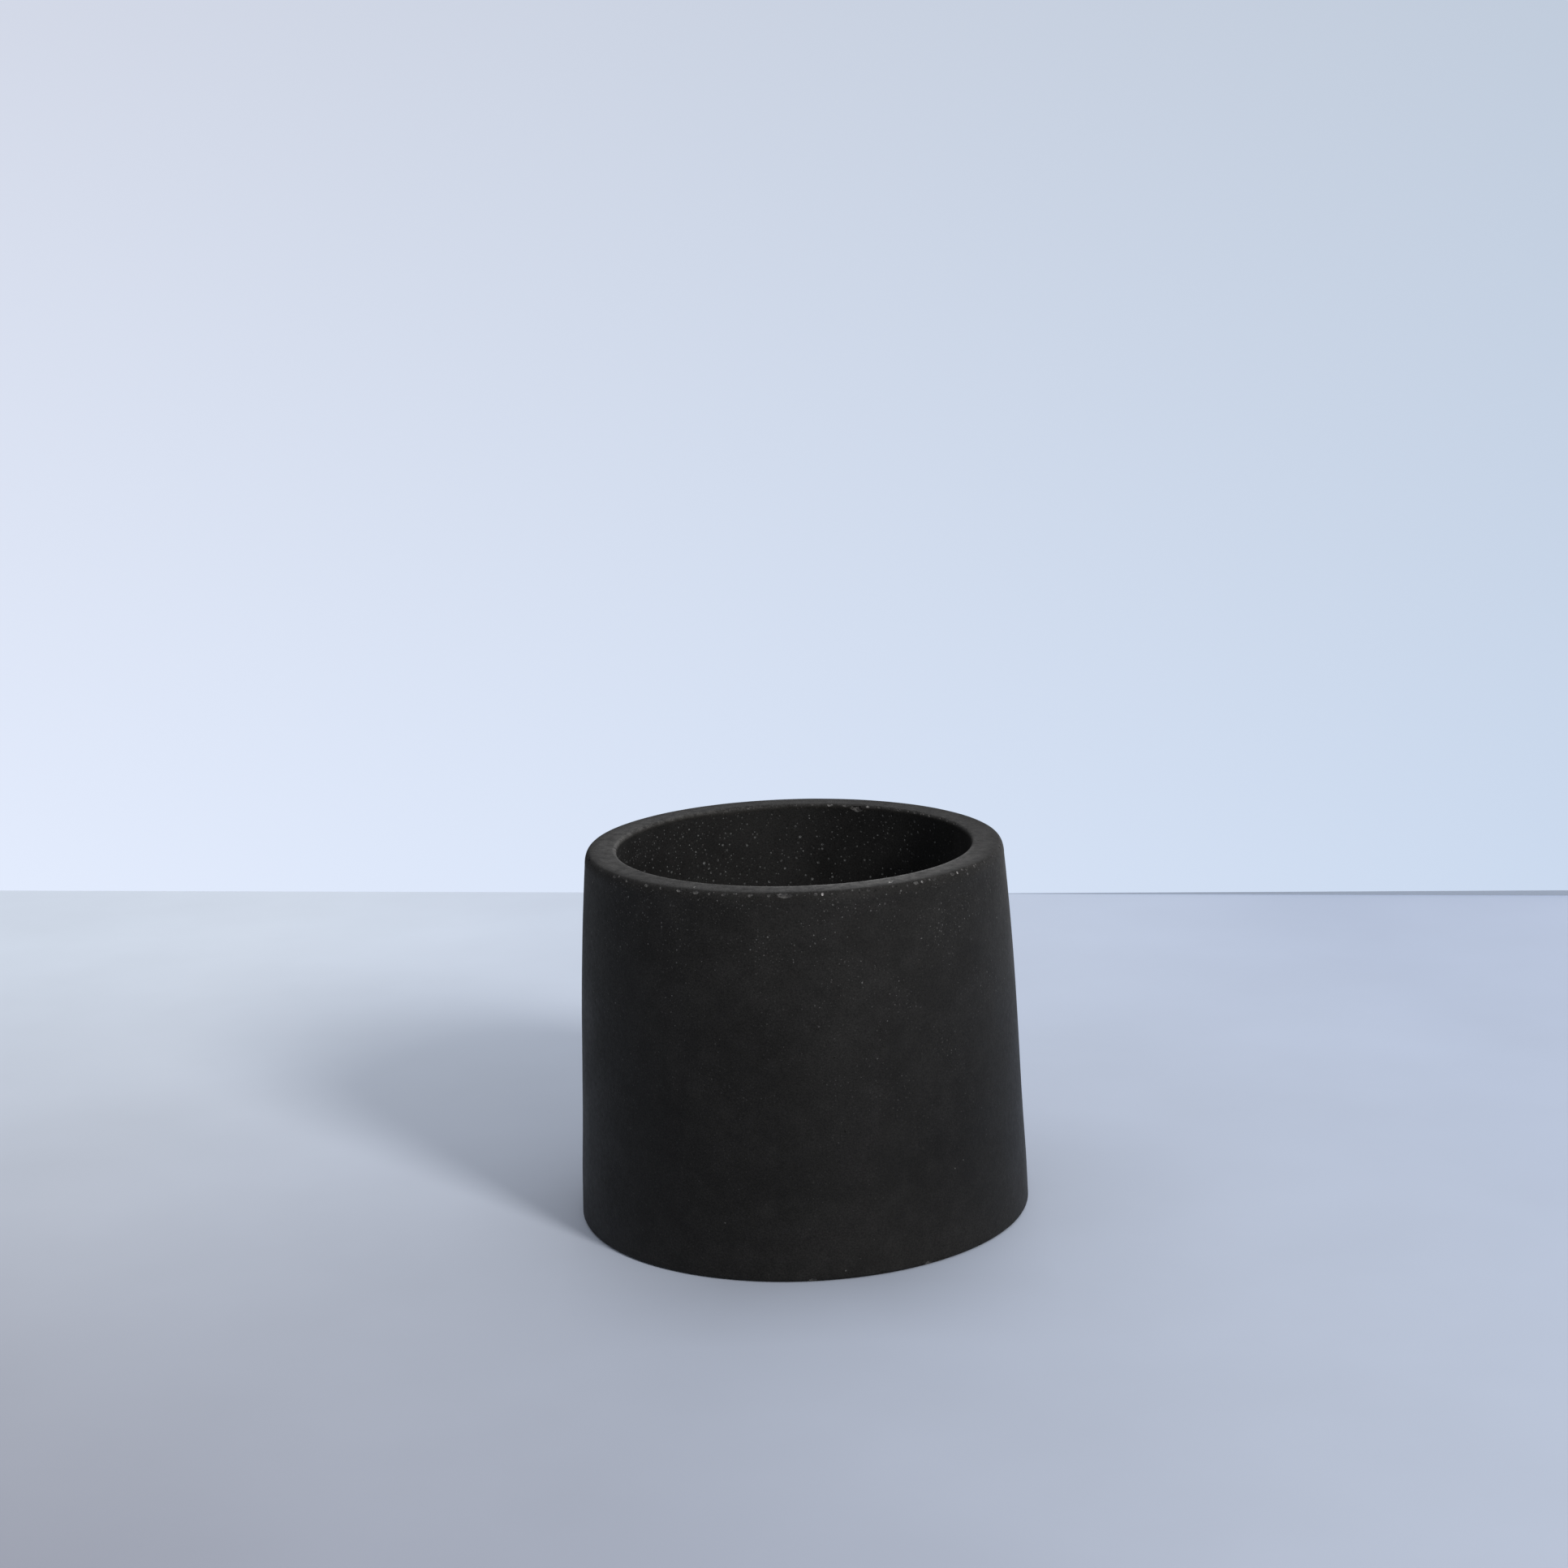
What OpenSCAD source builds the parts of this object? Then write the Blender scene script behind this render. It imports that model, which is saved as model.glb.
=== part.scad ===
// Tapered cast-concrete candle jar, empty, with a cured film of clear sealer inside.
// Millimetres. +Z is up along the jar's axis, and the origin is the centre of its underside.

/* [Casting] */
// Diameter at the foot, measured where the wall would meet the underside
foot_d = 88.1; // [82:0.1:110]
// Diameter at the rim, measured where the wall would meet the rim face
rim_d = 80.4; // [75:0.1:88]
// Height from the underside to the rim face
height = 73; // [50:0.5:120]
// How far the outer wall stands proud of a straight taper, halfway up
wall_bulge = 0.36; // [0.1:0.02:1.5]
// Rounding of the rim's outer edge
rim_round = 1.3; // [0.4:0.1:2.5]
// Rounding of the rim's inner edge
mouth_round = 0.45; // [0.2:0.05:1.5]
// Rounding of the foot's edge
foot_round = 0.7; // [0.2:0.1:2]

/* [Cavity] */
// Diameter of the cavity in the casting, which has no taper
cavity_d = 68.4; // [50:0.2:74]
// Thickness of the casting's floor
floor_t = 8.5; // [4:0.5:16]
// Rounding where the cavity's wall meets its floor
cavity_round = 4; // [1:0.5:10]

/* [Sealer] */
// Thickness of the cured film
film_t = 0.2; // [0.1:0.05:0.5]
// How far below the mouth's rounded edge the film ends
film_drop = 0.4; // [0.2:0.1:6]

/* [Hidden] */
$fn = 180;

// Straight steps along the outer wall's long arc, and round one edge
wall_steps = 24;
edge_steps = 10;

foot_r = foot_d / 2;
rim_r = rim_d / 2;
cavity_r = cavity_d / 2;

// The outer wall is one long arc, from the foot to the rim, that bulges over its chord
chord = [rim_r - foot_r, height];
chord_l = norm(chord);
chord_lean = atan2(foot_r - rim_r, height);
wall_arc_r = (chord_l * chord_l / 4 + wall_bulge * wall_bulge) / (2 * wall_bulge);
wall_c = [foot_r, 0] + chord / 2 - (wall_arc_r - wall_bulge) * [cos(chord_lean), sin(chord_lean)];

// Where an edge circle of radius r, centred at level z, touches the outer wall from inside:
// the wall's angle there, and the centre of the edge circle
function touch_a(r, z) = asin((z - wall_c[1]) / (wall_arc_r - r));
function touch_c(r, z) = [wall_c[0] + (wall_arc_r - r) * cos(touch_a(r, z)), z];

// The points of an arc of radius r about c, from one angle to another
function arc(c, r, from_a, to_a, steps) =
    [for (i = [0:steps]) let (a = from_a + (to_a - from_a) * i / steps) c + r * [cos(a), sin(a)]];

foot_z = foot_round;
rim_z = height - rim_round;
mouth_c = [cavity_r + mouth_round, height - mouth_round];
corner_c = [cavity_r - cavity_round, floor_t + cavity_round];
film_end_c = [cavity_r, height - mouth_round - film_drop - film_t];

// The casting on one side of the axis, from its underside up the outer wall and down the cavity
casting_outline = concat(
    [[0, 0]],
    arc(touch_c(foot_round, foot_z), foot_round, -90, touch_a(foot_round, foot_z), edge_steps),
    arc(wall_c, wall_arc_r, touch_a(foot_round, foot_z), touch_a(rim_round, rim_z), wall_steps),
    arc(touch_c(rim_round, rim_z), rim_round, touch_a(rim_round, rim_z), 90, edge_steps),
    arc(mouth_c, mouth_round, 90, 180, edge_steps),
    arc(corner_c, cavity_round, 0, -90, edge_steps),
    [[0, floor_t]]
);

// The film on one side of the axis, out along the casting, up, over its rounded end and back
film_outline = concat(
    [[0, floor_t]],
    arc(corner_c, cavity_round, -90, 0, edge_steps),
    arc(film_end_c, film_t, 90, 180, edge_steps),
    arc(corner_c, cavity_round - film_t, 0, -90, edge_steps),
    [[0, floor_t + film_t]]
);

module cast_body() {
    color([0.13, 0.13, 0.135])
        rotate_extrude()
            polygon(casting_outline);
}

module sealer_lining() {
    color([0.05, 0.05, 0.055])
        rotate_extrude()
            polygon(film_outline);
}

cast_body();
sealer_lining();
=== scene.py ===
"""An empty candle jar: one tapered casting of black-pigmented concrete, and the cured film of clear
sealer that lines its cavity. Mesh code works in millimetres; solid() turns the result into metres.
Angles round the jar are in degrees from +X towards +Y, so the front is at -90 and the left at 180."""

import math
import random

import bmesh
import bpy
import numpy as np
from mathutils import Matrix, Vector, noise
from mathutils.bvhtree import BVHTree


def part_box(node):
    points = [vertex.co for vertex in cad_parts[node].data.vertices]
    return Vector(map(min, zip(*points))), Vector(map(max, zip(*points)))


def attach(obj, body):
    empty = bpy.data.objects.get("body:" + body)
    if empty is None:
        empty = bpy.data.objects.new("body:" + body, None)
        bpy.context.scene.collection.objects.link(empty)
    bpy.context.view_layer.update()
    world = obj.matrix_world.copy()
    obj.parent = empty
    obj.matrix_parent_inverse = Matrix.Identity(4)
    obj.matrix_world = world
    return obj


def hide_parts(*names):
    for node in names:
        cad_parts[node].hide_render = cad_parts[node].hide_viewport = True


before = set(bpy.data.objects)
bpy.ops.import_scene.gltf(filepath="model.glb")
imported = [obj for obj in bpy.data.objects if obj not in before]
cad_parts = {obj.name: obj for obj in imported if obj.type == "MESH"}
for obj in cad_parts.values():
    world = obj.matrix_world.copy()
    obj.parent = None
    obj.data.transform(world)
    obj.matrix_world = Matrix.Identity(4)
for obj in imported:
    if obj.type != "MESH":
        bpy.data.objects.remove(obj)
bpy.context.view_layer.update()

MM = 0.001

# ---------------------------------------------------------------- sizes, in millimetres
body_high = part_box("cast_body")[1] / MM
film_low, film_high = (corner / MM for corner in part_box("sealer_lining"))

HEIGHT = body_high.z
CAVITY_R = film_high.x
FLOOR_T = film_low.z

# What hand casting leaves: a slight lean to +X, a rim out of level, a slow sway in the wall's
# outline, a swelling just above the foot, and soft relief all over
LEAN = 0.0069
RIM_TILT_X = -0.0092
RIM_TILT_Y = 0.005
SWAY = 0.15
FOOT_SWELL = 0.11
FOOT_SWELL_Z = 9
FOOT_SWELL_SPAN = 7
RELIEF = 0.03

# Out of round, as (lobes, size, phase). The lobes don't all peak together at the foot, so a share of
# their sum is room enough to keep it inside the CAD model's box.
LOBES = [(2, 0.045, 0.7), (3, 0.03, 2.1), (5, 0.02, 4.0)]
LOBE_ROOM = 0.6 * sum(size for _, size, _ in LOBES)

# The rim's middle lies below its highest point, which stays a little under the CAD model's top
RIM_CLEARANCE = 0.16
FOOT_R = body_high.x - LOBE_ROOM
RIM_R = 40.19
RIM_Z = HEIGHT - math.hypot(RIM_TILT_X, RIM_TILT_Y) * RIM_R - RIM_CLEARANCE
WALL_BULGE = 0.42

# The rim's outer edge is eased over a quarter of an ellipse, and the other edges are rounded
RIM_EDGE_WIDE = 1.15
RIM_EDGE_HIGH = 2.6
FOOT_ROUND = 0.7
CAVITY_ROUND = 4.0
MOUTH_ROUND = 0.7

# The mouth's edge is rounder on the left, at a worn stretch of the back, and at a notch at the back
MOUTH_LEFT_MORE = 0.2
MOUTH_WORN_AT, MOUTH_WORN_SPAN, MOUTH_WORN_MORE = 110, 11, 0.35
NOTCH_AT, NOTCH_SPAN, NOTCH_MORE = 67, 2.2, 0.6

# The film: how far its face stands in from the casting, how thick its feathered end is, its gap to
# the casting, how far its end lies below the mouth's rounding, and over what height it feathers out
FILM_T = 0.2
FILM_END_T = 0.01
FILM_GAP = 0.01
FILM_DROP = 0.15
FILM_FEATHER = 6.0
FILM_FACE_R = CAVITY_R - FILM_T

# The ragged end of the film, as (waves round the mouth, size, phase in degrees)
FILM_RAGGED = [(3, 0.06, 0), (11, 0.04, 40)]

# The middle of the rounding between the cavity's wall and its floor, as (radius, height)
CAVITY_CORNER = (CAVITY_R - CAVITY_ROUND, FLOOR_T + CAVITY_ROUND)

# Divisions round the jar, and up its outer wall
AROUND = 360
WALL_ROWS = 64


# ---------------------------------------------------------------- outlines
def arc(centre, radius, start, end, steps):
    """Points of an arc, with its angles in degrees from the outward level direction."""
    turns = (math.radians(start + (end - start) * i / steps) for i in range(steps + 1))
    return [(centre[0] + radius * math.cos(a), centre[1] + radius * math.sin(a)) for a in turns]


def line(start, end, steps):
    """Points from start to end, both included."""
    return [
        (start[0] + (end[0] - start[0]) * i / steps, start[1] + (end[1] - start[1]) * i / steps)
        for i in range(steps + 1)
    ]


def eased(start, wide, high, steps):
    """Points of a quarter of an ellipse, from a point on a wall up and in to a level face."""
    turns = [math.pi / 2 * i / steps for i in range(steps + 1)]
    return [(start[0] - wide * (1 - math.cos(a)), start[1] + high * math.sin(a)) for a in turns]


def joined(*runs):
    """One run of points, without the doubled ones where two runs meet."""
    points = []
    for point in (p for run in runs for p in run):
        if not points or math.dist(points[-1], point) > 1e-6:
            points.append(point)
    return points


def hump(value, middle, span):
    """A smooth hump: 1 at its middle, and near 0 from twice its span away."""
    return math.exp(-(((value - middle) / span) ** 2))


def wall_r(z):
    """Radius of the outer wall at height z: a taper that bulges a little, sways, and swells low down."""
    t = z / RIM_Z
    taper = FOOT_R + (RIM_R - FOOT_R) * t
    swell = FOOT_SWELL * hump(z, FOOT_SWELL_Z, FOOT_SWELL_SPAN)
    return taper + 4 * WALL_BULGE * t * (1 - t) - SWAY * math.sin(2 * math.pi * t) + swell


def mouth_round(angle):
    """Rounding of the mouth's edge at an angle round the axis."""
    left = max(0.0, math.cos(math.radians(angle - 180))) ** 2
    worn = hump(angle, MOUTH_WORN_AT, MOUTH_WORN_SPAN)
    notch = hump(angle, NOTCH_AT, NOTCH_SPAN)
    return MOUTH_ROUND + MOUTH_LEFT_MORE * left + MOUTH_WORN_MORE * worn + NOTCH_MORE * notch


def casting_outline(angle):
    """The casting at an angle round the axis: underside, outer wall, rim, cavity, cavity floor."""
    edge = mouth_round(angle)
    top = RIM_Z - RIM_EDGE_HIGH
    below_mouth = RIM_Z - 3
    wall = [(wall_r(z), z) for _, z in line((0, FOOT_ROUND), (0, top), WALL_ROWS)]
    return joined(
        line((0, 0), (wall_r(0) - FOOT_ROUND, 0), steps=6),
        arc((wall_r(FOOT_ROUND) - FOOT_ROUND, FOOT_ROUND), FOOT_ROUND, -90, 0, steps=5),
        wall,
        eased((wall_r(top), top), RIM_EDGE_WIDE, RIM_EDGE_HIGH, steps=10),
        line((wall_r(top) - RIM_EDGE_WIDE, RIM_Z), (CAVITY_R + edge, RIM_Z), steps=7),
        arc((CAVITY_R + edge, RIM_Z - edge), edge, 90, 180, steps=6),
        line((CAVITY_R, RIM_Z - edge), (CAVITY_R, below_mouth), steps=3),
        line((CAVITY_R, below_mouth), (CAVITY_R, CAVITY_CORNER[1]), steps=8),
        arc(CAVITY_CORNER, CAVITY_ROUND, 0, -90, steps=6),
        line((CAVITY_CORNER[0], FLOOR_T), (0, FLOOR_T), steps=3),
    )


def film_outline(angle):
    """The film at an angle round the axis: up its back on the casting, and down its face."""
    ragged = sum(size * math.sin(math.radians(n * angle + phase)) for n, size, phase in FILM_RAGGED)
    end = RIM_Z - mouth_round(angle) - FILM_DROP + ragged
    back = CAVITY_R - FILM_GAP
    under = FLOOR_T + FILM_GAP
    upper = FLOOR_T + FILM_T
    return joined(
        line((0, under), (CAVITY_CORNER[0], under), steps=3),
        arc(CAVITY_CORNER, CAVITY_ROUND - FILM_GAP, -90, 0, steps=4),
        line((back, CAVITY_CORNER[1]), (back, end), steps=6),
        line((back - FILM_END_T, end), (FILM_FACE_R, end - FILM_FEATHER), steps=8),
        line((FILM_FACE_R, end - FILM_FEATHER), (FILM_FACE_R, CAVITY_CORNER[1]), steps=72),
        arc(CAVITY_CORNER, CAVITY_ROUND - FILM_T, 0, -90, steps=10),
        line((CAVITY_CORNER[0], upper), (0, upper), steps=24),
    )


# ---------------------------------------------------------------- meshes
def shaped(points):
    """Hand-cast irregularity, the same for both pieces: out of round, leaning, rim out of level."""
    x, y, z = points.T
    angle = np.arctan2(y, x)
    radius = np.hypot(x, y)
    grown = sum(size * np.sin(n * angle + phase + 2 * z / HEIGHT) for n, size, phase in LOBES)
    radius = radius + grown * radius / FOOT_R
    x, y = radius * np.cos(angle), radius * np.sin(angle)
    return np.stack([x + LEAN * z, y, z + (RIM_TILT_X * x + RIM_TILT_Y * y) * z / RIM_Z], 1)


def revolved(outline):
    """Vertices and faces of a closed solid of revolution, whose outline may change with the angle."""
    angles = [360 * i / AROUND for i in range(AROUND)]
    runs = np.array([outline(a if a <= 180 else a - 360) for a in angles])
    turn = np.radians(angles)[:, None]
    rings = np.stack([runs[:, :, 0] * np.cos(turn), runs[:, :, 0] * np.sin(turn), runs[:, :, 1]], 2)
    rings = rings[:, 1:-1].transpose(1, 0, 2)
    rows = len(rings)
    first, last = rows * AROUND, rows * AROUND + 1
    points = np.concatenate([rings.reshape(-1, 3), [[0, 0, runs[0, 0, 1]], [0, 0, runs[0, -1, 1]]]])
    faces = []
    for i in range(AROUND):
        j = (i + 1) % AROUND
        faces.append((first, j, i))
        for row in range(rows - 1):
            a, b = row * AROUND, (row + 1) * AROUND
            faces.append((a + i, a + j, b + j, b + i))
        faces.append(((rows - 1) * AROUND + i, (rows - 1) * AROUND + j, last))
    return points, faces


def normals_of(points, faces):
    """Unit normal at each vertex."""
    mesh = bpy.data.meshes.new("scratch")
    mesh.from_pydata(points.tolist(), [], faces)
    found = np.zeros(len(points) * 3)
    mesh.vertex_normals.foreach_get("vector", found)
    bpy.data.meshes.remove(mesh)
    return found.reshape(-1, 3)


def roughened(points, faces, relief, seed):
    """Points moved along their normals by soft noise, with bumps of about 9 and 3 millimetres."""
    shift = Vector((seed, 2 * seed, 3 * seed))
    heights = [
        0.65 * noise.noise(Vector(p) / 9 + shift) + 0.35 * noise.noise(Vector(p) / 3 - shift)
        for p in points
    ]
    moved = points + normals_of(points, faces) * (relief * np.array(heights))[:, None]
    moved[:, 2] = np.maximum(moved[:, 2], 0)
    return moved


def ball(rounds):
    """Vertices and faces of a unit icosphere."""
    bm = bmesh.new()
    bmesh.ops.create_icosphere(bm, subdivisions=rounds, radius=1)
    points = np.array([v.co for v in bm.verts])
    faces = [[v.index for v in f.verts] for f in bm.faces]
    bm.free()
    return points, faces


# Pits are cut with the small ball, and chips with the middle one or, past this reach, the big one
SMALL_BALL = ball(2)
MIDDLE_BALL = ball(3)
BIG_BALL = ball(4)
BIG_CHIP_REACH = 0.7

# The rooms that two cutters claim stay this far apart. They are kept in a grid, whose cells are
# wider than the distance between the middles of any two rooms that touch.
APART = 0.03
CELL = 3.2
STEPS = (-1, 0, 1)


class Cutters:
    """Pits and chips to cut from a surface: small closed bodies, each with room of its own on it."""

    def __init__(self, points, faces, seed):
        self.surface = BVHTree.FromPolygons(points.tolist(), faces)
        self.random = random.Random(seed)
        self.taken = {}
        self.points, self.faces, self.slots = [], [], []

    def claim(self, place, reach):
        """Takes the room a body of that reach needs, or says False where another has it already."""
        cell = [math.floor(c / CELL) for c in place]
        around = [(cell[0] + i, cell[1] + j, cell[2] + k) for i in STEPS for j in STEPS for k in STEPS]
        for near in around:
            for other, other_reach in self.taken.get(near, ()):
                if (other - place).length < reach + other_reach + APART:
                    return False
        self.taken.setdefault(tuple(cell), []).append((place, reach))
        return True

    def add(self, shape, place, axes, slot):
        """Adds a closed body: its points along three axes about a place."""
        points, faces = shape
        start = len(self.points)
        self.points.extend((np.array(place) + points @ np.array(axes)).tolist())
        self.faces.extend([start + i for i in face] for face in faces)
        self.slots.extend([slot] * len(faces))

    def axes_at(self, normal, spin=0.0):
        """Two directions along the surface and its normal; at no spin the first is level."""
        level = Vector((0, 0, 1)).cross(normal)
        level = level.normalized() if level.length > 1e-3 else Vector((1, 0, 0))
        level = Matrix.Rotation(spin, 3, normal) @ level
        return level, normal.cross(level), normal

    def pit(self, near, radius, depth, slot):
        """A shallow pit of that radius and depth, a little out of round, at the nearest surface."""
        place, normal, _, _ = self.surface.find_nearest(Vector(near))
        if not self.claim(place, radius):
            return
        level, across, out = self.axes_at(normal, self.random.uniform(0, math.pi))
        curve = (radius * radius + depth * depth) / (2 * depth)
        squeeze = self.random.uniform(0.75, 1.0)
        axes = [level * curve, across * (curve * squeeze), out * curve]
        self.add(SMALL_BALL, place + out * (curve - depth), axes, slot)

    def chip(self, near, width, height, depth, slot):
        """A shallow broken patch with a rough floor, its width level, at the nearest surface."""
        place, normal, _, _ = self.surface.find_nearest(Vector(near))
        reach = max(width, height) / 2
        if not self.claim(place, reach):
            return
        points, faces = BIG_BALL if reach > BIG_CHIP_REACH else MIDDLE_BALL
        shift = Vector([self.random.uniform(0, 50) for _ in range(3)])
        rough = [
            1 + 0.26 * noise.noise(Vector(p) * 1.9 + shift) + 0.14 * noise.noise(Vector(p) * 5 + shift)
            for p in points
        ]
        level, across, out = self.axes_at(normal)
        # This share of the body's half thickness lies below the surface
        sunk = 0.45
        widen = 1 / math.sqrt(1 - (1 - sunk) ** 2)
        thick = depth / sunk
        axes = [level * (width / 2 * widen), across * (height / 2 * widen), out * thick]
        shape = (points * np.array(rough)[:, None], faces)
        self.add(shape, place + out * (thick * (1 - sunk)), axes, slot)


def new_object(name, points, faces, materials, slots=None):
    """A mesh object in the scene, with its materials and, where given, each face's slot."""
    mesh = bpy.data.meshes.new(name)
    mesh.from_pydata(points, [], faces)
    for material in materials:
        mesh.materials.append(material)
    if slots:
        mesh.polygons.foreach_set("material_index", slots)
    made = bpy.data.objects.new(name, mesh)
    bpy.context.scene.collection.objects.link(made)
    return made


def solid(name, points, faces, cutters, materials):
    """The piece: the surface less its cutters, in metres, smooth but for broken edges."""
    body = new_object(name + "_uncut", points.tolist(), faces, materials)
    tools = new_object(name + "_cutters", cutters.points, cutters.faces, materials, cutters.slots)
    cut = body.modifiers.new("cut", "BOOLEAN")
    cut.object = tools
    cut.operation = "DIFFERENCE"
    cut.solver = "MANIFOLD"
    cut.material_mode = "INDEX"
    graph = bpy.context.evaluated_depsgraph_get()
    mesh = bpy.data.meshes.new_from_object(body.evaluated_get(graph))
    for used in (body, tools):
        spent = used.data
        bpy.data.objects.remove(used)
        bpy.data.meshes.remove(spent)
    mesh.transform(Matrix.Scale(MM, 4))
    mesh.polygons.foreach_set("use_smooth", [True] * len(mesh.polygons))
    mesh.set_sharp_from_angle(angle=math.radians(22))
    mesh.name = name
    piece = bpy.data.objects.new(name, mesh)
    bpy.context.scene.collection.objects.link(piece)
    return piece


# ---------------------------------------------------------------- shader helpers
def new_material(name):
    """A node material, its tree, and its shader."""
    material = bpy.data.materials.new(name)
    material.use_nodes = True
    tree = material.node_tree
    shader = next(n for n in tree.nodes if n.type == "BSDF_PRINCIPLED")
    return material, tree, shader


def millimetres(tree):
    """The place on the object, in millimetres."""
    coords = tree.nodes.new("ShaderNodeTexCoord")
    scale = tree.nodes.new("ShaderNodeVectorMath")
    scale.operation = "SCALE"
    scale.inputs["Scale"].default_value = 1 / MM
    tree.links.new(coords.outputs["Object"], scale.inputs[0])
    return scale.outputs[0]


def split_xyz(tree, vector):
    """The X, Y and Z of a vector."""
    split = tree.nodes.new("ShaderNodeSeparateXYZ")
    tree.links.new(vector, split.inputs[0])
    return split.outputs["X"], split.outputs["Y"], split.outputs["Z"]


def cloud(tree, place, size, detail=2.0, low=0.3, high=0.7):
    """Noise with features of that size in millimetres, spread to run from 0 to 1."""
    texture = tree.nodes.new("ShaderNodeTexNoise")
    texture.inputs["Scale"].default_value = 1 / size
    texture.inputs["Detail"].default_value = detail
    tree.links.new(place, texture.inputs["Vector"])
    return spread(tree, texture.outputs["Fac"], low, high)


def spread(tree, value, low, high):
    """A value moved so that low becomes 0 and high becomes 1, and kept between them."""
    node = tree.nodes.new("ShaderNodeMapRange")
    node.inputs["From Min"].default_value = low
    node.inputs["From Max"].default_value = high
    tree.links.new(value, node.inputs["Value"])
    return node.outputs["Result"]


def ranged(tree, value, low, high):
    """A 0 to 1 value moved to another range."""
    node = tree.nodes.new("ShaderNodeMapRange")
    node.inputs["To Min"].default_value = low
    node.inputs["To Max"].default_value = high
    tree.links.new(value, node.inputs["Value"])
    return node.outputs["Result"]


def maths(tree, operation, *values):
    """One Math node over sockets or numbers."""
    node = tree.nodes.new("ShaderNodeMath")
    node.operation = operation
    for socket, value in zip(node.inputs, values):
        if isinstance(value, (int, float)):
            socket.default_value = value
        else:
            tree.links.new(value, socket)
    return node.outputs[0]


def mixed(tree, factor, first, second):
    """Two colours mixed by a factor. Each is a socket or a colour."""
    node = tree.nodes.new("ShaderNodeMix")
    node.data_type = "RGBA"
    tree.links.new(factor, node.inputs["Factor"])
    for socket, colour in ((node.inputs["A"], first), (node.inputs["B"], second)):
        if isinstance(colour, tuple):
            socket.default_value = (*colour, 1)
        else:
            tree.links.new(colour, socket)
    return node.outputs["Result"]


def shaded(tree, colour, factor):
    """A colour made lighter or darker by a factor."""
    node = tree.nodes.new("ShaderNodeVectorMath")
    node.operation = "SCALE"
    tree.links.new(colour, node.inputs[0])
    tree.links.new(factor, node.inputs["Scale"])
    return node.outputs[0]


def bumped(tree, shader, heights, depth):
    """Bump from a height, with its depth in millimetres."""
    bump = tree.nodes.new("ShaderNodeBump")
    bump.inputs["Strength"].default_value = 1.0
    bump.inputs["Distance"].default_value = depth * MM
    tree.links.new(heights, bump.inputs["Height"])
    tree.links.new(bump.outputs["Normal"], shader.inputs["Normal"])


def attribute(tree, name):
    """A painted value on the mesh."""
    node = tree.nodes.new("ShaderNodeAttribute")
    node.attribute_name = name
    return node.outputs["Fac"]


def flecks(tree, place, spacing, radius, share):
    """Fine round flecks: 0 between them, and up to 1 in them, each with a strength of its own."""
    cells = tree.nodes.new("ShaderNodeTexVoronoi")
    cells.inputs["Scale"].default_value = 1 / spacing
    tree.links.new(place, cells.inputs["Vector"])
    inside = spread(tree, cells.outputs["Distance"], radius / spacing, 0.6 * radius / spacing)
    own = tree.nodes.new("ShaderNodeSeparateColor")
    tree.links.new(cells.outputs["Color"], own.inputs[0])
    kept = spread(tree, own.outputs["Red"], 1 - share, 1)
    return maths(tree, "MULTIPLY", inside, kept)


def grained(tree, shader, colour, place, size):
    """Gives the shader a colour that fine grain makes lighter and darker, and returns the grain."""
    fine = cloud(tree, place, size, detail=1, low=0.25, high=0.75)
    uneven = shaded(tree, colour, ranged(tree, fine, 0.6, 1.4))
    tree.links.new(uneven, shader.inputs["Base Color"])
    return fine


def with_lumps(tree, fine, place, size):
    """The grain's height, with lumps of that size in millimetres added to it."""
    lumps = maths(tree, "MULTIPLY", cloud(tree, place, size), 0.8)
    return maths(tree, "ADD", fine, lumps)


# ---------------------------------------------------------------- materials
# Linear colours. Each pair holds the two that clouds mix, the darker one first.
CONCRETE = (0.0070, 0.0067, 0.0061), (0.0110, 0.0105, 0.0096)
CONCRETE_DUST = (0.0200, 0.0193, 0.0183)
# The worn colour is also a painted highlight along the mouth's edge and the front right of the rim
CONCRETE_WORN_HIGHLIGHT = (0.13, 0.127, 0.12)
CONCRETE_FLECK = (0.075, 0.073, 0.070)
EXPOSED_LIME = (0.035, 0.034, 0.033), (0.098, 0.096, 0.092)
# Bright sand, partly painted glints on the small chips that catch the light
BRIGHT_SAND_GLINT = (0.085, 0.083, 0.080), (0.36, 0.352, 0.342)
SEALED = (0.0108, 0.0107, 0.0105), (0.0170, 0.0170, 0.0167)
SEALED_FLECK = (0.06, 0.059, 0.056)
SEALED_LIME = (0.028, 0.0284, 0.0284), (0.125, 0.128, 0.128)

# The Specular IOR Level of both black finishes
BLACK_SPECULAR = 0.13

# The outer wall gets paler and more flecked from the first of these heights up to the second. From the
# third down to the foot it is a little paler again: painted bounce light from the table.
BLOOM_LOW = 20
BLOOM_HIGH = 66
FOOT_BOUNCE_FROM = 16


def concrete_flecks(tree, place, high):
    """Pale flecks of two sizes, in patches, and thicker high on the wall."""
    patches = cloud(tree, place, size=9, detail=2, low=0.35, high=0.65)
    more_above = maths(tree, "ADD", 0.25, maths(tree, "MULTIPLY", high, 0.75))
    thick = maths(tree, "MULTIPLY", more_above, patches)
    small = flecks(tree, place, spacing=0.8, radius=0.17, share=0.8)
    tiny = maths(tree, "MULTIPLY", flecks(tree, place, spacing=0.5, radius=0.11, share=0.7), 0.7)
    return maths(tree, "MULTIPLY", maths(tree, "MAXIMUM", small, tiny), thick)


def concrete_roughness(tree, place, high):
    """Uneven roughness: less where the concrete is worn, and a little more high on the wall."""
    broad = cloud(tree, place, size=8, detail=3)
    narrow = cloud(tree, place, size=1.1, detail=3)
    mean = maths(tree, "MULTIPLY", maths(tree, "ADD", broad, narrow), 0.5)
    rough = ranged(tree, mean, 0.50, 0.66)
    rough = maths(tree, "SUBTRACT", rough, maths(tree, "MULTIPLY", attribute(tree, "worn"), 0.28))
    return maths(tree, "ADD", rough, ranged(tree, high, 0, 0.06))


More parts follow.
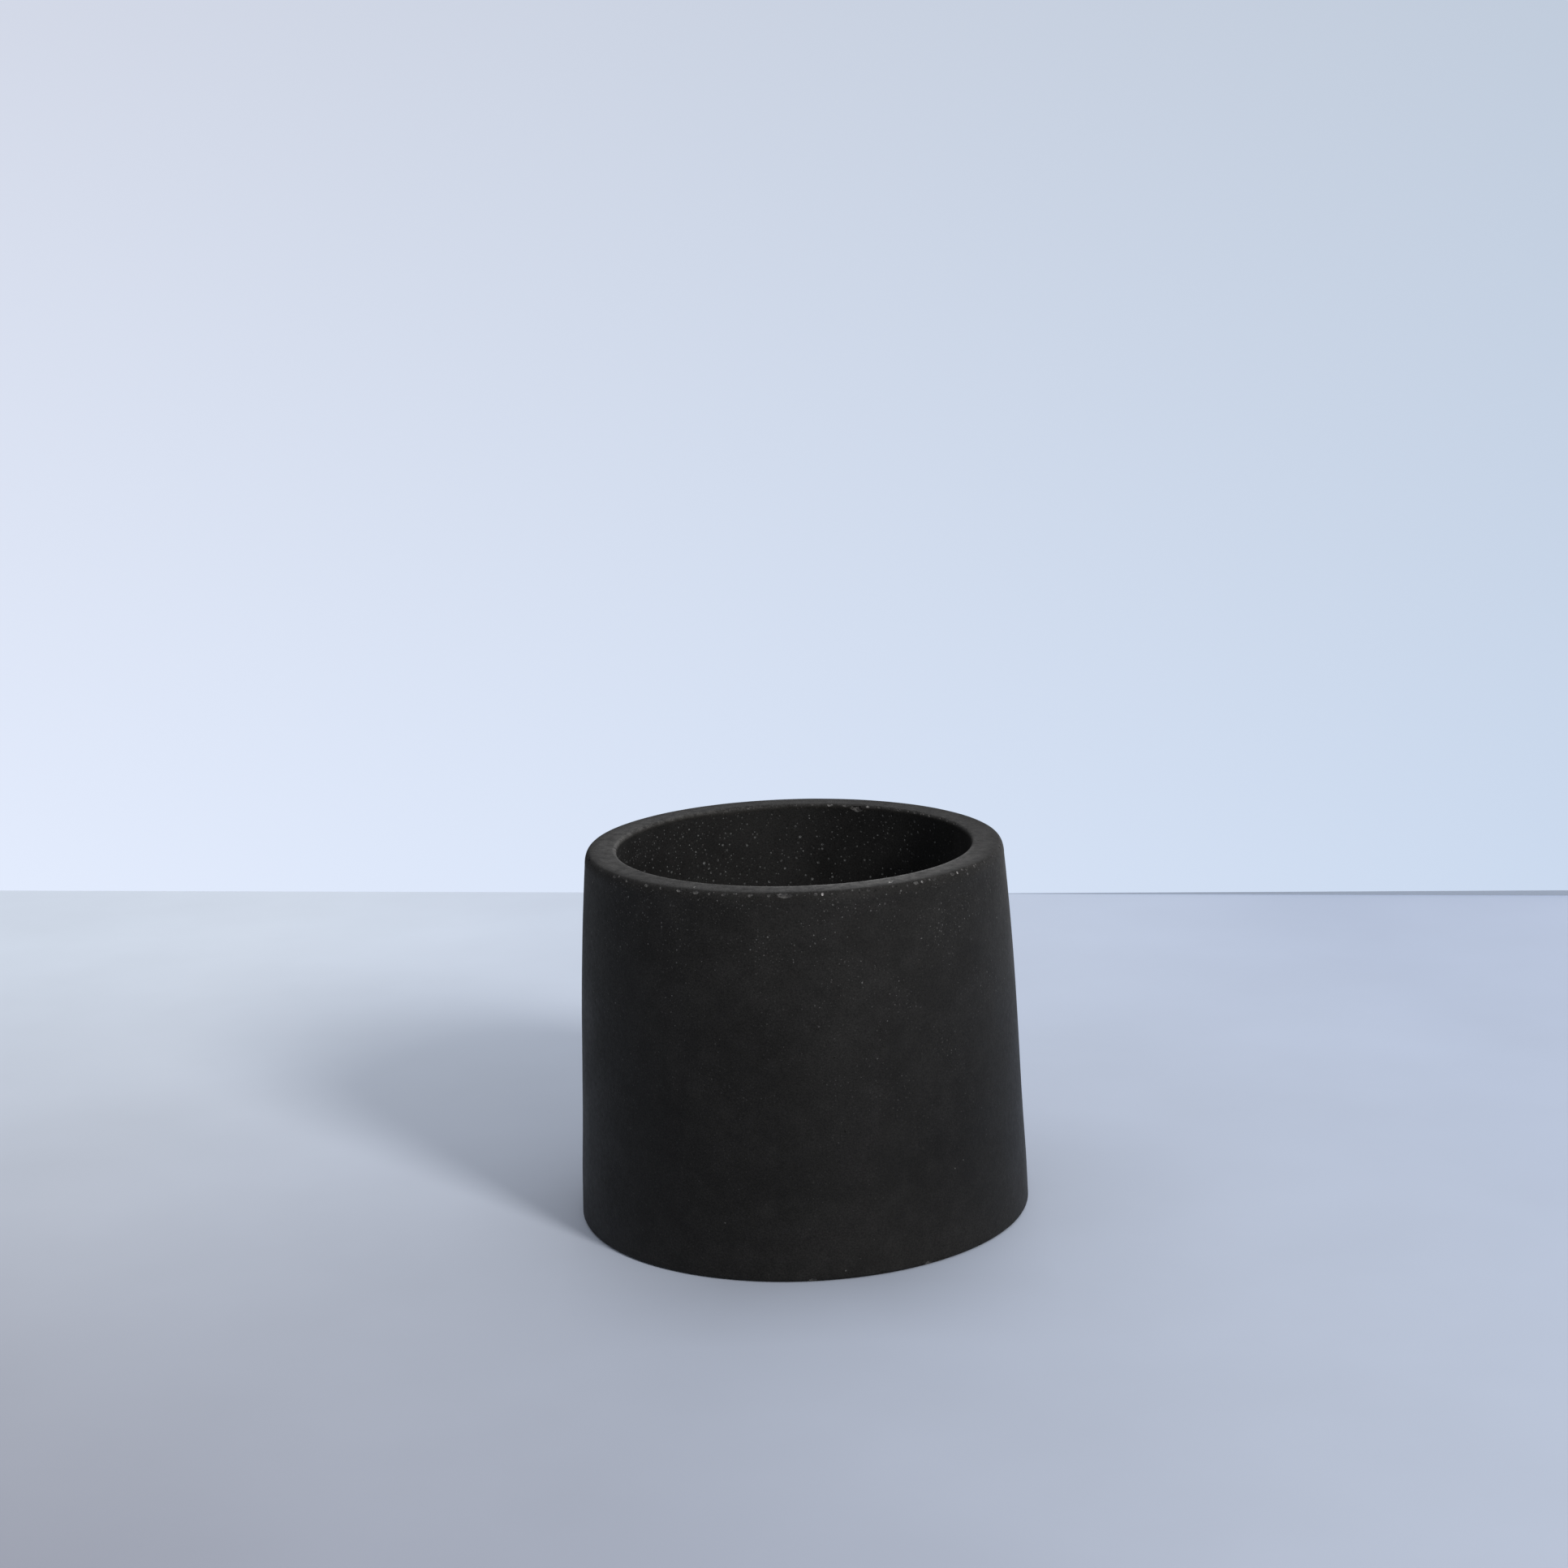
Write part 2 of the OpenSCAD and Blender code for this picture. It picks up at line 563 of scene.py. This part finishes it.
def black_concrete():
    """Pigmented concrete as cast: near black, clouded and flecked, paler where it is worn, with a
    painted highlight along the mouth's edge and the front of the rim, and painted bounce light low down.
    """
    material, tree, shader = new_material("black_concrete")
    place = millimetres(tree)
    colour = mixed(tree, cloud(tree, place, size=14, detail=3), *CONCRETE)
    dust = maths(tree, "MULTIPLY", cloud(tree, place, size=4, detail=5, low=0.42, high=0.75), 0.35)
    colour = mixed(tree, dust, colour, CONCRETE_DUST)
    # Paler where worn: real wear, and a painted highlight along the mouth's edge and the rim's front
    uneven = cloud(tree, place, size=1.6, detail=3, low=0.25, high=0.6)
    worn = maths(tree, "MULTIPLY", attribute(tree, "worn"), uneven)
    colour = mixed(tree, worn, colour, CONCRETE_WORN_HIGHLIGHT)
    _, _, height = split_xyz(tree, place)
    high = spread(tree, height, BLOOM_LOW, BLOOM_HIGH)
    # Painted bounce light from the table: lighter from this height down to the foot
    low = spread(tree, height, FOOT_BOUNCE_FROM, 0)
    colour = shaded(tree, colour, ranged(tree, high, 1.0, 1.4))
    colour = shaded(tree, colour, ranged(tree, low, 1.0, 1.25))
    colour = mixed(tree, concrete_flecks(tree, place, high), colour, CONCRETE_FLECK)
    fine = grained(tree, shader, colour, place, size=0.3)
    tree.links.new(concrete_roughness(tree, place, high), shader.inputs["Roughness"])
    shader.inputs["Specular IOR Level"].default_value = BLACK_SPECULAR
    bumped(tree, shader, with_lumps(tree, fine, place, size=0.9), depth=0.014)
    return material


def pale_lime(name, dark, light):
    """Lime and sand that show in pits and broken edges: pale, dry and uneven."""
    material, tree, shader = new_material(name)
    place = millimetres(tree)
    colour = mixed(tree, cloud(tree, place, size=0.8, detail=2, low=0.4, high=0.65), dark, light)
    fine = grained(tree, shader, colour, place, size=0.2)
    shader.inputs["Roughness"].default_value = 0.85
    shader.inputs["Specular IOR Level"].default_value = 0.3
    bumped(tree, shader, fine, depth=0.02)
    return material


def sealed_concrete():
    """Concrete under cured sealer: deeper black, flecked, with a faint uneven sheen."""
    material, tree, shader = new_material("sealed_concrete")
    place = millimetres(tree)
    colour = mixed(tree, cloud(tree, place, size=10, detail=3), *SEALED)
    patches = cloud(tree, place, size=7, detail=2, low=0.35, high=0.6)
    pale = maths(tree, "MULTIPLY", flecks(tree, place, spacing=0.9, radius=0.2, share=0.8), patches)
    colour = mixed(tree, pale, colour, SEALED_FLECK)
    fine = grained(tree, shader, colour, place, size=0.3)
    rough = ranged(tree, cloud(tree, place, size=6, detail=3), 0.48, 0.60)
    tree.links.new(rough, shader.inputs["Roughness"])
    shader.inputs["Specular IOR Level"].default_value = BLACK_SPECULAR
    bumped(tree, shader, with_lumps(tree, fine, place, size=1.1), depth=0.006)
    return material


# ---------------------------------------------------------------- the casting
def on_ring(angle, radius, z):
    """A point at an angle, a radius and a height, moved as the pieces' own points are."""
    turn = math.radians(angle)
    return shaped(np.array([[radius * math.cos(turn), radius * math.sin(turn), z]]))[0]


def on_wall(angle, z):
    """A point on the outer wall at an angle and a height."""
    return on_ring(angle, wall_r(z), z)


# Material slots of the casting: black, pale lime, and bright sand with painted glints. The film has a
# black and a pale.
BLACK, PALE, BRIGHT = 0, 1, 2

# Radii just inside the rim's outer edge, just outside the mouth, and on the rim's face, and a level
# above the rim from which the nearest surface is that face
OUTER_EDGE = RIM_R - 0.1
MOUTH_EDGE = CAVITY_R + 0.1
ON_FACE = RIM_R - 2.2
ABOVE_RIM = RIM_Z + 1

# Broken places on the rim's outer edge, as (angle, width, what shows)
RIM_CHIPS = [
    (-147, 1.0, PALE), (-141, 0.9, PALE), (-133, 1.0, PALE), (-128, 0.6, PALE), (-122, 1.1, PALE),
    (-117, 1.3, PALE), (-113, 0.6, PALE), (-109, 0.9, PALE), (-102, 0.9, PALE), (-97, 0.7, PALE),
    (-93, 2.8, PALE), (-85, 0.8, PALE), (-83.2, 0.45, BRIGHT), (-71, 0.6, PALE), (-57, 1.1, PALE),
    (-55, 0.4, BRIGHT), (-51, 0.9, PALE), (-44, 1.0, PALE), (-42, 0.4, BRIGHT), (-38, 0.6, PALE),
    (-34, 0.45, BRIGHT), (-28, 0.5, PALE),
]
# Broken places on the rim's face
FACE_CHIPS = [
    (-119, 0.8, BRIGHT), (-76, 0.9, PALE), (-63.2, 1.5, BRIGHT), (-60, 0.5, PALE), (-7, 0.45, BRIGHT),
]
# The angle of the large chip in the notch, and the broken places on the rest of the mouth's edge
NOTCH_CHIP_AT = 67.4
MOUTH_CHIPS = [
    (77, 1.2, BRIGHT), (63.4, 0.8, BRIGHT), (59, 0.9, PALE), (55, 0.5, PALE), (51, 1.2, PALE),
    (47, 0.5, PALE), (44, 1.2, PALE), (40, 0.6, PALE), (37, 0.9, PALE), (31, 0.7, PALE),
    (27, 0.5, PALE), (22, 0.7, PALE), (83, 0.6, PALE), (89, 0.8, PALE), (101, 1.0, PALE),
    (105, 1.5, PALE), (109, 1.1, PALE), (113, 1.6, PALE), (117, 1.0, PALE), (121, 0.8, PALE),
    (135, 0.8, PALE), (150, 0.7, PALE), (168, 0.6, PALE),
]
# Chips on the foot's edge
FOOT_CHIPS = [
    (-59.5, 1.4, PALE), (-62, 2.6, BLACK), (-56, 2.2, BLACK), (-89, 1.4, PALE), (-72, 1.8, BLACK),
]
# Single pale specks on the wall, and open pinholes, as (angle, height, radius)
LONE_SPECKS = [
    (-85.5, 48, 0.22), (-71, 41, 0.16), (-47, 18, 0.2), (-50, 17, 0.16), (-110, 11, 0.18),
    (-81, 1.8, 0.24),
]
PINHOLES = [(-80, 28, 0.2), (-82, 42, 0.16)]

# How many of each are tried at random. One that finds no room is left out.
EDGE_CHIPS_TRIED = 26
OUTER_PITS_TRIED = 420
MOUTH_PITS_TRIED = 160
FACE_PITS_TRIED = 260
FOOT_CHIPS_TRIED = 24
UNDERSIDE_PORES_TRIED = 420
WALL_SPECKS_TRIED = 2300
WALL_PORES_TRIED = 150


def seldom_large(rnd, smallest, usual_more, largest):
    """A random radius, mostly not much over the smallest, and never over the largest."""
    return min(largest, smallest + rnd.expovariate(1 / usual_more))


def placed_rim_chips(cutters):
    """The broken places on the rim that have a place of their own."""
    for angle, width, slot in RIM_CHIPS:
        place = on_ring(angle, OUTER_EDGE, RIM_Z - 0.3)
        cutters.chip(place, width, 0.5 + 0.2 * width, 0.16 + 0.06 * width, slot)
    for angle, width, slot in FACE_CHIPS:
        place = on_ring(angle, ON_FACE, ABOVE_RIM)
        cutters.chip(place, width, 0.5 * width, 0.12, slot)
    notch = on_ring(NOTCH_CHIP_AT, CAVITY_R - 0.2, RIM_Z - 0.6)
    cutters.chip(notch, width=2.6, height=1.5, depth=0.5, slot=PALE)
    for angle, width, slot in MOUTH_CHIPS:
        place = on_ring(angle, MOUTH_EDGE, RIM_Z - 0.1)
        cutters.chip(place, width, 0.35 + 0.25 * width, 0.12 + 0.1 * width, slot)


def scattered_rim_chips(cutters):
    """Chips here and there on both edges of the rim, at the back and the sides."""
    rnd = cutters.random
    for _ in range(EDGE_CHIPS_TRIED):
        angle = rnd.uniform(-30, 215)
        width = rnd.choice((0.5, 0.7, 0.9, 1.3))
        radius = OUTER_EDGE if rnd.random() < 0.6 else MOUTH_EDGE
        slot = rnd.choice((BLACK, PALE))
        place = on_ring(angle, radius, RIM_Z - 0.2)
        cutters.chip(place, width, 0.4 + 0.25 * width, 0.1 + 0.05 * width, slot)


def scattered_rim_pits(cutters):
    """Small pits all round, on the rim's outer edge, the mouth's edge, and the face between them."""
    rnd = cutters.random
    for _ in range(OUTER_PITS_TRIED):
        place = on_ring(rnd.uniform(-180, 180), RIM_R - 0.3, RIM_Z - abs(rnd.gauss(0, 0.5)))
        radius = rnd.uniform(0.1, 0.32)
        slot = rnd.choice((BLACK, BLACK, PALE))
        cutters.pit(place, radius, rnd.uniform(0.25, 0.45) * radius, slot)
    for _ in range(MOUTH_PITS_TRIED):
        place = on_ring(rnd.uniform(-180, 180), CAVITY_R + 0.3, RIM_Z - abs(rnd.gauss(0, 0.2)))
        radius = rnd.uniform(0.1, 0.25)
        slot = rnd.choice((BLACK, BLACK, PALE))
        cutters.pit(place, radius, 0.35 * radius, slot)
    for _ in range(FACE_PITS_TRIED):
        angle = rnd.uniform(-180, 180)
        radius = rnd.uniform(0.06, 0.18)
        across = rnd.uniform(CAVITY_R + 0.8, RIM_R - 1.4)
        slot = PALE if rnd.random() < 0.6 else BLACK
        cutters.pit(on_ring(angle, across, ABOVE_RIM), radius, 0.35 * radius, slot)


def foot_damage(cutters):
    """Chips along the foot's edge: those with a place of their own, then a scatter all round."""
    rnd = cutters.random
    for angle, width, slot in FOOT_CHIPS:
        cutters.chip(on_wall(angle, 0.4), width, 0.8, 0.1 + 0.1 * width, slot)
    for _ in range(FOOT_CHIPS_TRIED):
        width = rnd.uniform(0.5, 1.6)
        place = on_wall(rnd.uniform(-180, 180), rnd.uniform(0.1, 0.5))
        cutters.chip(place, width, 0.5 + 0.2 * width, 0.08 + 0.05 * width, BLACK)


def underside_pores(cutters):
    """Air pores and a few lime specks on the flat underside, where the concrete met the air."""
    rnd = cutters.random
    widest = wall_r(0) - 2.5
    for _ in range(UNDERSIDE_PORES_TRIED):
        reach = widest * math.sqrt(rnd.random())
        turn = rnd.uniform(-math.pi, math.pi)
        radius = seldom_large(rnd, smallest=0.1, usual_more=0.14, largest=0.9)
        slot = PALE if rnd.random() < 0.3 else BLACK
        place = (reach * math.cos(turn), reach * math.sin(turn), 0)
        cutters.pit(place, radius, rnd.uniform(0.3, 0.7) * radius, slot)


def wall_specks(cutters):
    """Tiny lime-filled pores: thick under the rim, thinning downwards, with a few open pinholes."""
    rnd = cutters.random
    lowest_drop = RIM_Z - 4
    for angle, z, radius in LONE_SPECKS:
        cutters.pit(on_wall(angle, z), radius, 0.3 * radius, PALE)
    for angle, z, radius in PINHOLES:
        cutters.pit(on_wall(angle, z), radius, 0.9 * radius, BLACK)
    for _ in range(WALL_SPECKS_TRIED):
        angle = rnd.uniform(-180, 180)
        drop = rnd.expovariate(1 / 5.6)
        patch = noise.noise(Vector((angle / 25, drop / 8, 3)))
        if drop > lowest_drop or rnd.random() > 0.6 + 1.3 * patch:
            continue
        radius = seldom_large(rnd, smallest=0.08, usual_more=0.045, largest=0.26)
        cutters.pit(on_wall(angle, RIM_Z - 1 - drop), radius, 0.25 * radius, PALE)
    for _ in range(WALL_PORES_TRIED):
        place = on_wall(rnd.uniform(-180, 180), rnd.uniform(2, lowest_drop))
        radius = rnd.uniform(0.06, 0.12)
        slot, deep = (PALE, 0.25) if rnd.random() < 0.65 else (BLACK, 0.8)
        cutters.pit(place, radius, deep * radius, slot)


# Wear, with a painted highlight on top of it, is strongest at this angle, on the front right. On the
# face it fades out this far down, and takes this far in from the outer edge to build up. It reaches
# about this far from the mouth's edge, and no lower than this.
WEAR_HIGHLIGHT_PEAK_AT = -62
FACE_WEAR_HIGHLIGHT_DEPTH = 0.9
FACE_WEAR_HIGHLIGHT_BUILDS_OVER = 3
MOUTH_WEAR_HIGHLIGHT_REACH = 0.7
NO_WEAR_HIGHLIGHT_BELOW = 1.2


def paint_wear_and_highlight(piece):
    """Paints worn, which is real wear and a painted highlight: on the rim face, most along the mouth's
    edge, stronger towards the front right and the left, and none down the outer wall.
    """
    mesh = piece.data
    values = mesh.attributes.new("worn", "FLOAT", "POINT")
    flat = np.zeros(len(mesh.vertices) * 3)
    mesh.vertices.foreach_get("co", flat)
    x, y, z = (flat.reshape(-1, 3) / MM).T
    depth = RIM_Z + RIM_TILT_X * x + RIM_TILT_Y * y - z
    radius = np.hypot(x - LEAN * z, y)
    front = np.clip(np.cos(np.arctan2(y, x) - math.radians(WEAR_HIGHLIGHT_PEAK_AT)), 0, 1) ** 4
    left = np.clip(-x / RIM_R, 0, 1)
    built_up = np.clip((RIM_R - radius) / FACE_WEAR_HIGHLIGHT_BUILDS_OVER, 0, 1)
    face = np.clip(1 - depth / FACE_WEAR_HIGHLIGHT_DEPTH, 0, 1) ** 1.5 * built_up
    from_edge = np.hypot(radius - CAVITY_R - 0.6 * MOUTH_ROUND, depth)
    mouth = np.clip(1.2 - from_edge / MOUTH_WEAR_HIGHLIGHT_REACH, 0, 1)
    # The front and left terms paint a highlight on the rim and along the mouth's edge, on top of the
    # wear
    face = face * (0.08 + 0.34 * front + 0.16 * left)
    mouth = mouth * (0.12 + 0.95 * front + 0.3 * left)
    worn = np.maximum(face, mouth) * (depth < NO_WEAR_HIGHLIGHT_BELOW)
    values.data.foreach_set("value", worn.astype(np.float32))


def make_casting():
    """The cast body: a revolved solid with its relief, chips and pores."""
    points, faces = revolved(casting_outline)
    points = roughened(shaped(points), faces, RELIEF, seed=7)
    cutters = Cutters(points, faces, seed=11)
    placed_rim_chips(cutters)
    scattered_rim_chips(cutters)
    scattered_rim_pits(cutters)
    foot_damage(cutters)
    underside_pores(cutters)
    wall_specks(cutters)
    lime = pale_lime("exposed_lime", *EXPOSED_LIME)
    # The bright material is partly painted glints on small chips
    sand = pale_lime("bright_sand_glint", *BRIGHT_SAND_GLINT)
    piece = solid("casting", points, faces, cutters, [black_concrete(), lime, sand])
    paint_wear_and_highlight(piece)
    return piece


# ---------------------------------------------------------------- the film
# A radius from which the nearest surface is the cavity's wall, and a level above its floor
NEAR_WALL = FILM_FACE_R - 2
NEAR_FLOOR = FLOOR_T + 2

# How many of each are tried at random
CAVITY_SPECKS_TRIED = 3600
LARGE_SPECKS_TRIED = 150
FLOOR_SPECKS_TRIED = 300


def cavity_specks(cutters):
    """Pores that the sealer filled, in patches on the cavity's wall: thicker high up and on the left."""
    rnd = cutters.random
    wall_high = RIM_Z - FLOOR_T - CAVITY_ROUND
    for _ in range(CAVITY_SPECKS_TRIED):
        angle = rnd.uniform(-180, 180)
        drop = 1.5 + rnd.expovariate(1 / 20)
        patch = noise.noise(Vector((angle / 20, drop / 9, 8)))
        leftness = 0.5 - 0.5 * math.cos(math.radians(angle))
        if drop > wall_high or rnd.random() > 0.3 + 0.6 * leftness + 0.9 * patch:
            continue
        radius = seldom_large(rnd, smallest=0.16, usual_more=0.085, largest=0.42)
        cutters.pit(on_ring(angle, NEAR_WALL, RIM_Z - drop), radius, 0.2 * radius, PALE)


def large_specks(cutters):
    """Larger filled pores, on the cavity's left from the back round to the front."""
    rnd = cutters.random
    for _ in range(LARGE_SPECKS_TRIED):
        place = on_ring(rnd.uniform(80, 260), NEAR_WALL, RIM_Z - rnd.uniform(6, 32))
        radius = rnd.uniform(0.34, 0.52)
        cutters.pit(place, radius, 0.2 * radius, PALE)


def floor_specks(cutters):
    """Filled pores on the cavity's floor."""
    rnd = cutters.random
    widest = FILM_FACE_R - 5
    for _ in range(FLOOR_SPECKS_TRIED):
        place = on_ring(rnd.uniform(-180, 180), widest * math.sqrt(rnd.random()), NEAR_FLOOR)
        cutters.pit(place, rnd.uniform(0.1, 0.3), 0.04, PALE)


def make_film():
    """The sealer film: a thin skin on the cavity's wall and floor, with the pores it has filled."""
    points, faces = revolved(film_outline)
    points = roughened(shaped(points), faces, 0.6 * RELIEF, seed=7)
    cutters = Cutters(points, faces, seed=23)
    cavity_specks(cutters)
    large_specks(cutters)
    floor_specks(cutters)
    specks = pale_lime("sealed_lime", *SEALED_LIME)
    return solid("sealer_film", points, faces, cutters, [sealed_concrete(), specks])


casting = make_casting()
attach(casting, "root")
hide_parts("cast_body")

film = make_film()
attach(film, "root")
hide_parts("sealer_lining")


# ---------------------------------------------------------------- the studio, in metres
# The tabletop, turned a little about Z and a hair under the jar, and the dark sheet painted as the
# shadow in the gap at its far edge
TABLE_FAR = 0.251
TABLE_YAW = math.radians(-10)
TABLE_ALONG = Vector((math.cos(TABLE_YAW), math.sin(TABLE_YAW), 0))
TABLE_WIDTH = 3.2
TABLE_DEPTH = 2.0
TABLE_DROP = 0.00002
GAP_DROP = 0.0004
GAP_SLOPE = 0.0085

# The tabletop's colours near the camera and far from it, each from left to right. Their change is
# painted light and shade: darkest near the camera on the left, lightest far off on the left.
TABLE_NEAR_SHADED = (0.355, 0.37, 0.43), (0.535, 0.605, 0.725)
TABLE_AWAY_LIT = (0.82, 0.90, 1.0), (0.55, 0.635, 0.80)
GAP_SHADOW_COLOUR = (0.39, 0.44, 0.51)
JAR_SHADE = 0.18

# The backdrop's colours low down and high up, each from left to right
BACKDROP_LOW = (0.78, 0.85, 1.0), (0.60, 0.70, 0.86)
BACKDROP_HIGH = (0.66, 0.70, 0.81), (0.53, 0.60, 0.71)

# The soft light on the jar: level from most sides, level from the back right, and from overhead
LIGHT_AROUND = (0.09, 0.09, 0.09)
LIGHT_BACK_RIGHT = (1.15, 1.15, 1.17)
LIGHT_OVERHEAD = (0.735, 0.755, 0.81)

# The key light: its bearing seen from above, its climb over the table, and how far off it is
KEY_BEARING = math.radians(-52)
KEY_CLIMB = math.radians(29.5)
KEY_DISTANCE = 2.4


def table_colour(tree, place):
    """Pale paper, a little uneven, with painted light and shade: lighter far off and darker near the
    camera, a painted shadow just before the jar, and darker far off towards the key light to even out
    its fall-off. The place is in millimetres."""
    x, y, _ = split_xyz(tree, place)
    # Painted light and shade across the table
    across = spread(tree, x, -150, 150)
    away = spread(tree, y, -160, 225)
    colour = mixed(tree, away, mixed(tree, across, *TABLE_NEAR_SHADED), mixed(tree, across, *TABLE_AWAY_LIT))
    before = maths(tree, "MULTIPLY", spread(tree, y, -72, -44), JAR_SHADE)
    beside = spread(tree, maths(tree, "ABSOLUTE", x), 46, 15)
    colour = shaded(tree, colour, maths(tree, "SUBTRACT", 1, maths(tree, "MULTIPLY", before, beside)))
    # Painted shade: darker towards the key light, evening out the lamp's fall-off on the table
    right = maths(tree, "MULTIPLY", x, math.cos(KEY_BEARING))
    ahead = maths(tree, "MULTIPLY", y, math.sin(KEY_BEARING))
    lampward = spread(tree, maths(tree, "ADD", right, ahead), 250, 1500)
    colour = shaded(tree, colour, ranged(tree, lampward, 1, 0.3))
    return shaded(tree, colour, ranged(tree, cloud(tree, place, size=60, detail=4), 0.97, 1.03))


def make_table():
    """A plain pale tabletop, whose far edge stands a little behind the jar, at a slight angle."""
    back = Vector((0, TABLE_FAR, -TABLE_DROP))
    near = Vector((TABLE_ALONG.y, -TABLE_ALONG.x, 0)) * TABLE_DEPTH
    side = TABLE_ALONG * (TABLE_WIDTH / 2)
    corners = [back - side, back - side + near, back + side + near, back + side]
    material, tree, shader = new_material("table_top")
    tree.links.new(table_colour(tree, millimetres(tree)), shader.inputs["Base Color"])
    shader.inputs["Roughness"].default_value = 0.7
    table = new_object("table", corners, [(0, 1, 2, 3)], [material])


def make_gap_shadow():
    """A dark sheet painted as the shadow in the gap between the tabletop and the backdrop, which widens
    towards the right.
    """
    start = Vector((0, TABLE_FAR, -GAP_DROP))
    end = start + TABLE_ALONG * (TABLE_WIDTH / 2)
    top = GAP_SLOPE * TABLE_WIDTH / 2 * Vector((0, 0, 1))
    material, _, shader = new_material("gap_shade")
    # Painted shadow: the dark colour stands for the shade in the gap
    shader.inputs["Base Color"].default_value = (*GAP_SHADOW_COLOUR, 1)
    gap = new_object("gap", [start, end, end + top], [(0, 1, 2)], [material])


def make_world():
    """A pale bluish backdrop, brighter low on the left, and the soft light from all round the jar."""
    world = bpy.data.worlds.new("studio")
    bpy.context.scene.world = world
    world.use_nodes = True
    tree = world.node_tree
    tree.nodes.clear()
    coords = tree.nodes.new("ShaderNodeTexCoord")
    x, y, z = split_xyz(tree, coords.outputs["Generated"])
    across = spread(tree, x, -0.28, 0.28)
    up = spread(tree, z, -0.24, 0.08)
    seen = mixed(tree, up, mixed(tree, across, *BACKDROP_LOW), mixed(tree, across, *BACKDROP_HIGH))
    backdrop = tree.nodes.new("ShaderNodeBackground")
    tree.links.new(seen, backdrop.inputs["Color"])
    ambient = tree.nodes.new("ShaderNodeBackground")
    back_right = maths(tree, "ADD", y, maths(tree, "MULTIPLY", x, 0.8))
    level = mixed(tree, spread(tree, back_right, 0.75, 1.15), LIGHT_AROUND, LIGHT_BACK_RIGHT)
    light = mixed(tree, spread(tree, z, 0, 1), level, LIGHT_OVERHEAD)
    tree.links.new(light, ambient.inputs["Color"])
    rays = tree.nodes.new("ShaderNodeLightPath")
    choice = tree.nodes.new("ShaderNodeMixShader")
    tree.links.new(rays.outputs["Is Camera Ray"], choice.inputs["Fac"])
    tree.links.new(ambient.outputs[0], choice.inputs[1])
    tree.links.new(backdrop.outputs[0], choice.inputs[2])
    output = tree.nodes.new("ShaderNodeOutputWorld")
    tree.links.new(choice.outputs[0], output.inputs["Surface"])


def make_key_light():
    """A broad soft light from the right and front, low enough to throw a long shadow."""
    place = Vector((
        KEY_DISTANCE * math.cos(KEY_CLIMB) * math.cos(KEY_BEARING),
        KEY_DISTANCE * math.cos(KEY_CLIMB) * math.sin(KEY_BEARING),
        KEY_DISTANCE * math.sin(KEY_CLIMB),
    ))
    lamp = bpy.data.lights.new("key", "AREA")
    lamp.shape = "ELLIPSE"
    lamp.size = 0.46
    lamp.size_y = 0.70
    lamp.energy = 35
    lamp.color = (1.0, 0.97, 0.95)
    key = bpy.data.objects.new("key", lamp)
    key.location = place
    key.rotation_euler = (-place).to_track_quat("-Z", "Y").to_euler()
    bpy.context.scene.collection.objects.link(key)


def make_camera():
    """The camera, half a metre in front and a little above, looking down and slightly rolled."""
    distance, height = 0.511, 0.18925
    yaw, pitch, roll = -0.0019, 0.2032, -0.0399
    ahead = Vector((math.sin(yaw) * math.cos(pitch), math.cos(yaw) * math.cos(pitch), -math.sin(pitch)))
    level = Vector((math.cos(yaw), -math.sin(yaw), 0))
    upright = level.cross(ahead)
    right = math.cos(roll) * level + math.sin(roll) * upright
    up = math.cos(roll) * upright - math.sin(roll) * level
    camera = bpy.data.objects.new("camera", bpy.data.cameras.new("camera"))
    camera.data.sensor_width = 36
    camera.data.lens = 62.33
    camera.data.clip_start = 0.01
    camera.matrix_world = Matrix((
        (right.x, up.x, -ahead.x, 0),
        (right.y, up.y, -ahead.y, -distance),
        (right.z, up.z, -ahead.z, height),
        (0, 0, 0, 1),
    ))
    bpy.context.scene.collection.objects.link(camera)
    bpy.context.scene.camera = camera


make_table()
make_gap_shadow()
make_world()
make_key_light()
make_camera()
bpy.context.scene.view_settings.view_transform = "Standard"
bpy.context.scene.view_settings.look = "None"
